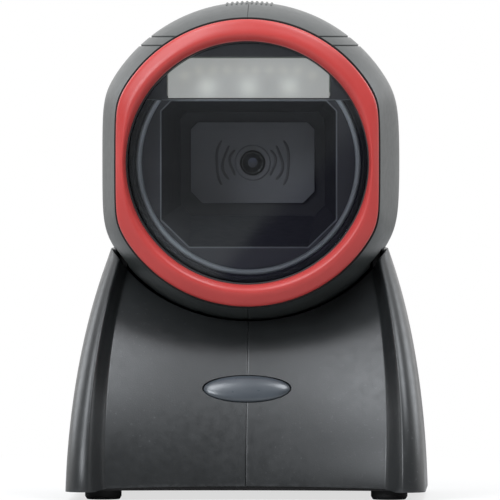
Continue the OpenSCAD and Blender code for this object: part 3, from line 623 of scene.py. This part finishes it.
def cut_arm_opening(bm, side):
    def near_arm():
        """Geometry round the opening, so that the cuts stay local."""
        faces = []
        for face in bm.faces:
            x, y, z = centre_mm(face)
            if abs(x) > 34.5 and z < -13 and abs(y) < 26:
                faces.append(face)
        edges = {e for f in faces for e in f.edges}
        verts = {v for f in faces for v in f.verts}
        return list(verts) + list(edges) + faces

    planes = [((side * x * MM, 0, 0), (1, 0, 0)) for x in ARM_X]
    for angle in ARM_ANGLES:
        a = math.radians(angle)
        planes.append(((0, 0, 0), (0, math.cos(a), math.sin(a))))
    for point, normal in planes:
        bmesh.ops.bisect_plane(bm, geom=near_arm(), plane_co=point, plane_no=normal, dist=1e-7)
    inside = []
    for face in bm.faces:
        x, y, z = centre_mm(face)
        angle = math.degrees(math.atan2(y, -z))
        if (ARM_X[0] < abs(x) < ARM_X[1] and ARM_ANGLES[0] < angle < ARM_ANGLES[1]
                and z < 0 and math.hypot(y, z) < ARM_RADIUS):
            inside.append(face)
    bmesh.ops.delete(bm, geom=inside, context="FACES")


def crown_ribs(side):
    """Five half-round ribs running front to back over the crown."""
    count, pitch, front, back = 60, 1.5, -8.6, 15.5
    ribs = []
    for i in range(5):
        x = side * pitch * (0.5 + i)
        radius = math.sqrt(BALL_R ** 2 - x * x)
        a = np.linspace(math.asin(front / radius), math.asin(back / radius), count)
        path = np.stack([np.full(count, x), radius * np.sin(a), radius * np.cos(a)], -1)
        ribs.append(bar("rib", path, path / BALL_R,
                        half_width=0.36, height=0.40, sink=0.6, taper=7))
    return ribs


def head_shell(side, node):
    ob = head_surface(side, node)
    with editing(ob.data) as bm:
        # open the half ball at the face, then trim it at the seam
        for point, normal in (((0, FACE_Y * MM, 0), (0, -1, 0)),
                              ((side * SEAM_HALF * MM, 0, 0), (-side, 0, 0))):
            bmesh.ops.bisect_plane(bm, geom=bm.verts[:] + bm.edges[:] + bm.faces[:],
                                   plane_co=point, plane_no=normal, clear_outer=True, dist=1e-6)
        cut_arm_opening(bm, side)
    with editing(ob.data) as bm:
        bmesh.ops.recalc_face_normals(bm, faces=bm.faces)
    face_outward(ob.data, Vector((0, 0, 0)))
    thicken(ob, wall=2.2, edge=0.28)
    # four sound slots in the back, beside the seam
    slots = [box_tool((side * 4.5, 48, z + 0.55), (6, 12, 1.1)) for z in range(-8, 2, 3)]
    cut(ob, *slots)
    ob = join(node + "_skin", [ob] + crown_ribs(side))
    ob.data.transform(Matrix.Translation((0, 0, AXIS_Z * MM)))
    smooth(ob, 34)
    piece(ob, "head", "shell_black", node)


SIDES = ((-1, "left"), (1, "right"))
for side, word in SIDES:
    head_shell(side, "head_shell_" + word)

# ------------------------------------------------------------------ bezel ring
RING_OUTER = 43.3
RING_INNER = 36.7
RING_FLAT_X = 39.7               # half width across the ring's flattened sides
RING_BLEND = 46
RING_STEPS = 360
# (radius, y) of the visible front, from the outer edge over the crest to the inner edge
RING_FRONT = [
    (43.3, -23.7), (43.3, -24.0), (43.2, -24.3), (42.95, -24.6), (42.5, -24.9),
    (41.9, -25.2), (41.2, -25.52), (40.5, -25.84), (39.9, -26.06), (39.4, -26.18),
    (38.95, -26.2), (38.5, -26.1), (38.1, -25.86), (37.7, -25.5), (37.35, -25.05),
    (37.05, -24.5), (36.85, -23.9), (36.75, -23.3), (36.7, -22.9),
]
# (radius, y) of the hollow back, from the inner edge outwards
RING_BACK = [
    (36.8, -22.75), (37.8, -22.75), (38.1, -23.6), (38.8, -24.4), (39.8, -24.7),
    (40.9, -24.4), (41.6, -23.8), (41.8, -23.56), (43.1, -23.56),
]


def ring_radius(angle):
    """Outer radius of the ring: a circle with its left and right sides flattened."""
    # the floor keeps the division finite at the top and bottom
    flat = RING_FLAT_X / max(1e-6, abs(math.cos(angle)))
    return (RING_OUTER ** -RING_BLEND + flat ** -RING_BLEND) ** (-1 / RING_BLEND)


def doubled(points):
    """Catmull-Rom curve through the points, with one more halfway along each span."""
    points = [np.array(p, float) for p in points]
    last = len(points) - 1
    curve = []
    for i in range(last):
        p0, p1, p2, p3 = [points[max(0, min(last, i + j))] for j in (-1, 0, 1, 2)]
        for t in (0.0, 0.5):
            curve.append(tuple(0.5 * (2 * p1 + (p2 - p0) * t
                                      + (2 * p0 - 5 * p1 + 4 * p2 - p3) * t * t
                                      + (3 * p1 - p0 - 3 * p2 + p3) * t ** 3)))
    return curve + [tuple(points[-1])]


def bezel_ring():
    profile = doubled(RING_FRONT) + RING_BACK
    rings = []
    for a in turn(RING_STEPS):
        stretch = (ring_radius(a) - RING_INNER) / (RING_OUTER - RING_INNER)
        rings.append([face_point(RING_INNER + (r - RING_INNER) * stretch, a, y)
                      for r, y in profile])
    piece(loft("bezel_ring_skin", rings, sharp=40), "head", "bezel_coral", "bezel_ring")


def bezel_painted_shadow():
    """Dark hairline of painted shadow round the ring: a near-black strip standing in for the
    shade where the ring sits in the shell's face.
    """
    rings = []
    for a in turn(RING_STEPS):
        outer = ring_radius(a)
        # in front of the face along the flats, just behind the ring's edge round the ball
        flatness = min(1.0, (RING_OUTER - outer) / 1.5)
        y = -22.2 - 1.4 * flatness
        margin = 0.62 - 0.12 * flatness
        section = ((outer - 0.5, y + 0.5), (outer - 0.5, y),
                   (outer + margin - 0.1, y), (outer + margin, y + 0.14))
        rings.append([face_point(r, a, place) for r, place in section])
    gap = loft("bezel_ring_painted_shadow", rings, sharp=40)
    # near-black painted shadow, carried with the ring
    piece(gap, "head", "bezel_coral", "bezel_ring", "gap_black")


bezel_ring()
bezel_painted_shadow()


# ------------------------------------------------------------------ window
# lathe profiles are (radius, y) with an optional corner radius
def window():
    tube = lathe("window_frame_tube", rounded([
        (36.3, -22.6), (40.4, -22.6, 0), (40.4, -21.4, 0), (37.3, -21.4, 0),
        (37.3, -13, 0.2), (36.3, -13, 0.2)]), 220, flat=37.2)
    ledge = arc("window_ledge", rounded([
        (34.7, -15.8), (36.5, -15.8, 0), (36.5, -13, 0), (34.7, -13)], 0.2), top=18.9)
    piece(join("window_frame_skin", [tube, ledge]), "head", "frame_black", "window_frame")
    pane = lathe("window_pane", rounded([
        (0, -18.0, 0), (36.2, -18.0), (36.2, -16.22), (0, -16.22, 0)], 0.3), 220)
    piece(pane, "head", "window_clear", "window")


window()

# ------------------------------------------------------------------ mask and lamp diffuser
MASK_FRONT = -10.0
OCTAGON_X = 26.4
# outlines are (x, height over the tilt axis)
OCTAGON = rounded([
    (-OCTAGON_X, 15.5), (-OCTAGON_X, -17.3), (-17.9, -25.5), (17.9, -25.5),
    (OCTAGON_X, -17.3), (OCTAGON_X, 15.5), (23.4, 18.5), (-23.4, 18.5)], 0.5)
LAMP_HOLE = rounded([
    (-24.7, 19.25), (24.7, 19.25), (24.7, 27.5), (19.7, 31.9), (-19.7, 31.9),
    (-24.7, 27.5)], 0.5)
LAMP = rounded([
    (-24.4, 19.5), (24.4, 19.5), (24.4, 27.4), (19.6, 31.6), (-19.6, 31.6),
    (-24.4, 27.4)], 0.35, 5)
STEP = rounded([(-31.2, 18.75), (31.2, 18.75), (31.0, 19.15), (-31.0, 19.15)], 0.1, 2)


def mask_lip():
    """Half-round lip on the mask's front, round its lower part."""
    radius, y, half_width, height = 33.2, -11.4, 0.85, 1.2
    profile = [(radius + half_width * math.cos(a), y - height * math.sin(a))
               for a in np.linspace(0, math.pi, 17)]
    profile += [(radius - half_width, -10.05), (radius + half_width, -10.05)]
    return arc("mask_lip", profile, top=18.85)


def octagon_rim():
    """Raised line round the octagonal opening."""
    width, height = 0.45, 0.22
    # (distance out from the opening, y from the mask's front)
    profile = [(0, 0.3), (0, -height * 0.6), (width * 0.3, -height), (width * 0.7, -height),
               (width, -height * 0.6), (width, 0.3)]
    loop = np.array(OCTAGON)
    tangents = np.roll(loop, -1, 0) - np.roll(loop, 1, 0)
    tangents /= np.linalg.norm(tangents, axis=1)[:, None]
    outward = np.stack([tangents[:, 1], -tangents[:, 0]], -1)
    rings = []
    for point, normal in zip(loop, outward):
        ring = []
        for distance, y in profile:
            x, z = point + normal * distance
            ring.append((x, MASK_FRONT + y, AXIS_Z + z))
        rings.append(ring)
    return loft("mask_octagon_rim", rings, sharp=50)


def mask_piece(ob, material=None):
    piece(ob, "head", "mask_charcoal", "optics_mask", material)


mask_piece(plate("optics_mask_plate", [circle(38.5, 200, flat=36.5), OCTAGON, LAMP_HOLE],
                 front=MASK_FRONT, back=-8.4, edge=0.18))
# the lip wears the lightened grey that paints its highlight
mask_piece(mask_lip(), "lip_painted_light_grey")
# the raised rim wears the lightened grey that paints its highlight
mask_piece(octagon_rim(), "rim_painted_light_grey")
# thin step line across the mask, above the octagon, in the lightened grey that paints its
# highlight
mask_piece(plate("mask_step", [STEP], front=-10.35, back=-9.95, edge=0.08), "rim_painted_light_grey")
piece(plate("lamp_diffuser_skin", [LAMP], front=-11.2, back=-8.3, edge=0.35),
      "head", "diffuser", "lamp_diffuser")

# ------------------------------------------------------------------ camera plate and lens
LENS_Z = AXIS_Z - 0.5
LENS_CENTRE = (0, 0, LENS_Z)
LENS_HOLE = 3.86
CAMERA_FRONT = 29.0


def camera_plate():
    """Eight-sided plate with a round hole and a raised ring in front of it."""
    outline = rounded([(-19, 10.2), (-16.8, 12.4), (16.8, 12.4), (19, 10.2), (19, -8.8),
                       (15.4, -12.4), (-15.4, -12.4), (-19, -8.8)], 0.6)
    flat = plate("camera_plate_skin", [outline, circle(LENS_HOLE, 64)],
                 front=CAMERA_FRONT, back=30.4, edge=0.2, centre_z=LENS_Z)
    ring = lathe("cam_ring", rounded([
        (LENS_HOLE, 29.3), (LENS_HOLE, 28.4), (5.3, 28.4), (5.6, 29.3)]), 120, LENS_CENTRE)
    piece(join("camera_plate_skin", [flat, ring]),
          "head", "mask_charcoal", "camera_plate", "camera_charcoal")


def camera_ripples():
    """Three wavy arcs on each side of the lens."""
    count, half_angle = 40, math.radians(36)
    ripples = []
    for radius in (6.8, 9.0, 11.3):
        for side in (1, -1):
            a = np.linspace(-half_angle, half_angle, count)
            wavy = radius + 0.35 * np.sin(a * 5.2 + radius)
            path = np.stack([side * wavy * np.cos(a), np.full(count, CAMERA_FRONT),
                             LENS_Z + wavy * np.sin(a)], -1)
            ripples.append(bar("ripple", path, np.tile([0.0, -1.0, 0.0], (count, 1)),
                               half_width=0.42, height=0.34, sink=0.3, taper=6))
    piece(join("camera_plate_ripples", ripples),
          "head", "mask_charcoal", "camera_plate", "ripple_charcoal")


def lens_barrel():
    profile = rounded([
        (2.75, 27.55), (3.3, 27.4), (3.8, 27.9), (3.8, 33.7, 0), (2.6, 33.7, 0),
        (2.6, 30.2, 0.1), (1.5, 29.7), (1.5, 28.95), (2.3, 28.5), (2.3, 28.2),
        (2.75, 27.95)], 0.12, 3)
    barrel = lathe("lens_barrel_skin", profile, 96, LENS_CENTRE)
    piece(barrel, "head", "lens_black", "lens_barrel")


camera_plate()
camera_ripples()
lens_barrel()

# ------------------------------------------------------------------ base
CUP_R = 49.5                     # hollow in the base's top, round the head
SKIRT_Z = 2.6                    # lower edge of the base
SKIRT_LIFT = 1.5                 # rise of that edge at the middle of the front
BASE_ROWS = 96


def base_outline(z, u):
    """(x, y) on the right half of the base at height z, for u from 0 (front) to 5 (back)."""
    t = max(0.0, (z - 3) / 72)
    upper = min(1.05, t)
    half_width = 54.0 - (2 * t + 8 * t * t + 2 * t ** 4)
    corner_y = min(-3.0, -48.6 + 45 * t ** 1.6)
    middle_y = min(8.0, -38.5 + 27.5 * (max(0.0, z - 3) / 51) ** 1.6)
    shrink = 1 - 0.45 * upper
    scoop_x, corner_x = half_width - 12.5 * shrink, half_width - 6.5 * shrink
    scoop = 0.35 * (middle_y - corner_y)
    corner_r = min(7.0, -corner_y - 0.3)
    if u <= 1:       # scooped middle of the front
        return scoop_x * u, middle_y - scoop * u * u
    if u <= 2:       # easing forward to the corner
        q = u - 1
        ease = q * q * (3 - 2 * q)
        scoop_y = middle_y - scoop
        return scoop_x + (corner_x - scoop_x) * q, scoop_y + (corner_y - scoop_y) * ease
    if u <= 3:       # front corner
        a = (u - 2) * math.pi / 2
        return (corner_x + (half_width - corner_x) * math.sin(a),
                corner_y + corner_r - corner_r * math.cos(a))
    if u <= 4:       # straight side
        return half_width, (corner_y + corner_r) * (4 - u)
    # superelliptic back
    a = (u - 4) * math.pi / 2
    back_y = 48.4 - 2 * upper ** 2
    power = 2 / (3.4 - 1.4 * min(1, t))
    return half_width * max(0.0, math.cos(a)) ** power, back_y * math.sin(a) ** power


def over_rim(z, u):
    """Whether the outline at z has passed into the cup or over the sloping top."""
    x, y = base_outline(z, u)
    return math.sqrt(x * x + y * y + (z - AXIS_Z) ** 2) < CUP_R or z > 74.8 + 0.1 * y


def rim_height(u):
    low = high = 20.0
    while not over_rim(high, u):
        low = high
        high += 0.5
    for _ in range(24):
        middle = (low + high) / 2
        if over_rim(middle, u):
            high = middle
        else:
            low = middle
    return low


def base_half(side):
    # points along each fifth of the outline, densest round the back
    stations = [0.0]
    for start, count in enumerate((66, 26, 18, 14, 74)):
        stations += list(start + np.linspace(0, 1, count)[1:])
    verts = []
    for u in stations:
        top = rim_height(u)
        bottom = SKIRT_Z + (SKIRT_LIFT * (1 - (u / 1.6) ** 2) if u < 1.6 else 0.0)
        for j in range(BASE_ROWS):
            z = bottom + (top - bottom) * j / (BASE_ROWS - 1)
            x, y = base_outline(z, u)
            verts.append((side * max(0.09, x), y, z))
    faces = grid_faces(len(stations), BASE_ROWS)
    ob = mesh_obj("base_half", verts, faces, sharp=60, merge=0.004)
    face_outward(ob.data, Vector((side * 0.02, 0.0, 0.03)))
    thicken(ob, wall=2.0, edge=0.35)
    return ob


# the button lies on the front's middle line, square to the slope there
BUTTON_Z = 33.0
BUTTON_A, BUTTON_B = 13.1, 4.5   # half length and half height
BUTTON_CLEARANCE = 0.35
BUTTON_SLOPE = math.atan(base_outline(BUTTON_Z + 0.5, 0)[1] - base_outline(BUTTON_Z - 0.5, 0)[1])
BUTTON_PLACE = (Matrix.Translation((0, base_outline(BUTTON_Z, 0)[1] * MM, BUTTON_Z * MM))
                @ Matrix.Rotation(math.radians(90) - BUTTON_SLOPE, 4, "X"))


def oval(half_length, half_height, z, steps):
    return [(half_length * math.cos(a), half_height * math.sin(a), z) for a in turn(steps)]


def button_hole_tool():
    steps, reach = 120, 6
    size = BUTTON_A + BUTTON_CLEARANCE, BUTTON_B + BUTTON_CLEARANCE
    verts = oval(*size, -reach, steps) + oval(*size, reach, steps)
    caps = [tuple(range(steps - 1, -1, -1)), tuple(range(steps, 2 * steps))]
    ob = mesh_obj("cutter", verts, loft_faces(2, steps) + caps)
    ob.data.transform(BUTTON_PLACE)
    return ob


def seam_tongue():
    """Tongue inside the wall behind the seam, so that no light passes between the halves."""
    count, half_width, thickness = 14, 1.6, 0.5
    verts, faces = [], []
    # outline place u, inset along y from the outline, lowest z, highest z
    for u, inset, low, high in ((0, 2.6, 4.5, 26.0), (0, 2.6, 41.0, 49.5),
                                (5, -2.3, 23.4, 73.0)):
        first = len(verts)
        for k in range(count):
            z = low + (high - low) * k / (count - 1)
            y = base_outline(z, u)[1] + inset
            inner = y + math.copysign(thickness, inset)
            verts += [(-half_width, y, z), (half_width, y, z),
                      (half_width, inner, z), (-half_width, inner, z)]
        for face in loft_faces(count, 4) + end_caps(count, 4):
            faces.append(tuple(first + i for i in face))
    return mesh_obj("seam_tongue", verts, faces)


def base_shell(side, node):
    ob = base_half(side)
    # oval button hole in front, rectangular opening low in the back
    cut(ob, button_hole_tool(), box_tool((0, 50, 15.875), (16.3, 20, 13.05)))
    ob.name = node + "_skin"
    smooth(ob, 40)
    piece(ob, "base", "shell_black", node, "shell_base")


def button():
    """Oval button with a domed crown."""
    steps, crown_z, crown_height = 144, -0.25, 1.75
    # (scale of the oval, height)
    profile = [(1.0, -4.6), (1.0, crown_z)]
    for t in np.linspace(0, 1, 26)[1:]:
        a = t * math.pi / 2
        profile.append((math.cos(a), crown_z + crown_height * math.sin(a) ** 0.85))
    verts = []
    for scale, z in profile:
        verts += oval(BUTTON_A * scale, BUTTON_B * scale, z, steps)
    faces = loft_faces(len(profile), steps) + [tuple(range(steps - 1, -1, -1))]
    ob = mesh_obj("button_cap_skin", verts, faces, sharp=55, merge=0.004)
    ob.data.transform(BUTTON_PLACE)
    piece(ob, "button", "button_smoke", "button_cap")


def rubber_feet():
    # (radius, z, corner radius)
    profile = rounded([(0, 0.0, 0), (4.9, 0.0, 0.5), (5.5, 1.0, 0.5), (5.5, 2.7, 0.1),
                       (3.0, 2.7, 0), (3.0, 4.0, 0.2), (0, 4.0, 0)])
    places = ((43, -33), (-43, -33), (38, 33), (-38, 33))
    feet = [lathe("foot%d" % i, profile, 72, (x, y, 0), upright=True)
            for i, (x, y) in enumerate(places)]
    piece(join("rubber_feet_skin", feet), "base", "rubber_black", "rubber_feet")


for side, word in SIDES:
    base_shell(side, "base_shell_" + word)
piece(seam_tongue(), "base", "shell_black", "base_shell_left", "gap_black")
button()
rubber_feet()


# ------------------------------------------------------------------ stage, in metres
def floor_material():
    """White paper that fades to pure white away from the object."""
    material, graph, output = new_material("floor_white")
    paper = graph.mix(graph.noise(scale=4, detail=2), (0.86, 0.86, 0.86), (0.88, 0.88, 0.88))
    seen = graph.add("LightPath").outputs["Is Camera Ray"]
    bsdf = graph.add("BsdfPrincipled", {
        # the floor throws less light back up than it shows to the camera
        "Base Color": graph.mix(seen, (0.42, 0.42, 0.42), paper),
        "Roughness": 0.8,
        "Specular IOR Level": 0.1,
    })
    position = graph.add("NewGeometry").outputs["Position"]
    distance = graph.add("VectorMath", {0: position}, operation="LENGTH").outputs["Value"]
    fade = graph.remap(distance, 0.70, 1, from_min=0.07, from_max=0.30)
    white = graph.add("Emission", {"Color": (1, 1, 1), "Strength": 1.0})
    mixed = graph.add("MixShader", {0: graph.math("MULTIPLY", fade, seen),
                                    1: bsdf.outputs[0], 2: white.outputs[0]})
    graph.plug(output, mixed.outputs[0])
    return material


def floor():
    bpy.ops.mesh.primitive_plane_add(size=1, location=(0, 0, -0.00005))
    ob = bpy.context.object
    ob.name = "floor"
    ob.scale = (24, 24, 1)
    ob.data.materials.append(floor_material())


def studio_world():
    """White at the sides and back, darker behind the camera and near the floor."""
    world = bpy.data.worlds.new("studio")
    bpy.context.scene.world = world
    world.use_nodes = True
    graph = Graph(world.node_tree)
    direction = graph.add("SeparateXYZ", {0: graph.coords["Generated"]}).outputs

    def ramp(source, stops):
        """Grey from (position, brightness) stops, for a source from -1 to 1."""
        node = graph.add("ValToRGB", {0: graph.remap(source, 0, 1, from_min=-1, from_max=1)})
        node.color_ramp.interpolation = "EASE"
        elements = node.color_ramp.elements
        for element, (position, grey) in zip(elements, (stops[0], stops[-1])):
            element.position = position
            element.color = (grey, grey, grey, 1)
        for position, grey in stops[1:-1]:
            elements.new(position).color = (grey, grey, grey, 1)
        return node.outputs[0]

    depth = ramp(direction["Y"], [(0.0, 0.20), (0.10, 0.18), (0.30, 0.20), (0.50, 0.62),
                                  (0.70, 0.95), (1.0, 1.0)])
    height = ramp(direction["Z"], [(0.0, 0.25), (0.42, 0.40), (0.58, 0.95), (0.75, 1.0),
                                   (1.0, 1.0)])
    room = graph.mix(1, depth, height, blend="MULTIPLY")
    seen = graph.add("LightPath").outputs["Is Camera Ray"]
    background = world.node_tree.nodes["Background"].inputs
    graph.plug(background["Color"], graph.mix(seen, room, (1, 1, 1)))
    graph.plug(background["Strength"], 1.0)


def aim_at(ob, target):
    ob.rotation_euler = (Vector(target) - ob.location).to_track_quat("-Z", "Y").to_euler()


# name, location, height of the aim point over the floor, (width, height), power in watts
LIGHTS = (
    ("key", (-0.34, -0.50, 0.92), 0.07, (0.30, 0.50), 3.4),
    ("low_key", (-0.60, -0.95, 0.60), 0.07, (0.36, 0.40), 4.4),
    ("fill", (0.36, -0.41, 1.00), 0.07, (0.34, 0.44), 3.6),
    ("side_left", (-0.85, 0.32, 0.52), 0.11, (0.5, 0.5), 2.2),
    ("side_right", (0.85, 0.32, 0.52), 0.11, (0.5, 0.5), 2.2),
    ("top", (0, 0.18, 1.00), 0.1, (0.9, 0.5), 1.0),
)


def lights():
    for name, location, aim_z, size, power in LIGHTS:
        light = bpy.data.lights.new(name, "AREA")
        light.shape = "RECTANGLE"
        light.size, light.size_y = size
        light.energy = power
        light.color = (0.96, 1.0, 1.05)
        ob = link(bpy.data.objects.new(name, light))
        ob.location = location
        aim_at(ob, (0, 0, aim_z))


def camera():
    """Long lens, a little to the right of the face and a little above it."""
    distance, view_width, sensor = 3.2, 0.15185, 36
    azimuth, elevation = math.radians(1.8), math.radians(1.1)
    target = Vector((0.0001, 0.0, 0.0743))
    data = bpy.data.cameras.new("camera")
    ob = link(bpy.data.objects.new("camera", data))
    ob.location = target + distance * Vector((math.sin(azimuth) * math.cos(elevation),
                                              -math.cos(azimuth) * math.cos(elevation),
                                              math.sin(elevation)))
    aim_at(ob, target)
    data.sensor_width = sensor
    data.lens = sensor * distance / view_width
    data.clip_start = 0.01
    data.clip_end = 20
    bpy.context.scene.camera = ob


bpy.context.scene.view_settings.view_transform = "Standard"
floor()
studio_world()
lights()
camera()
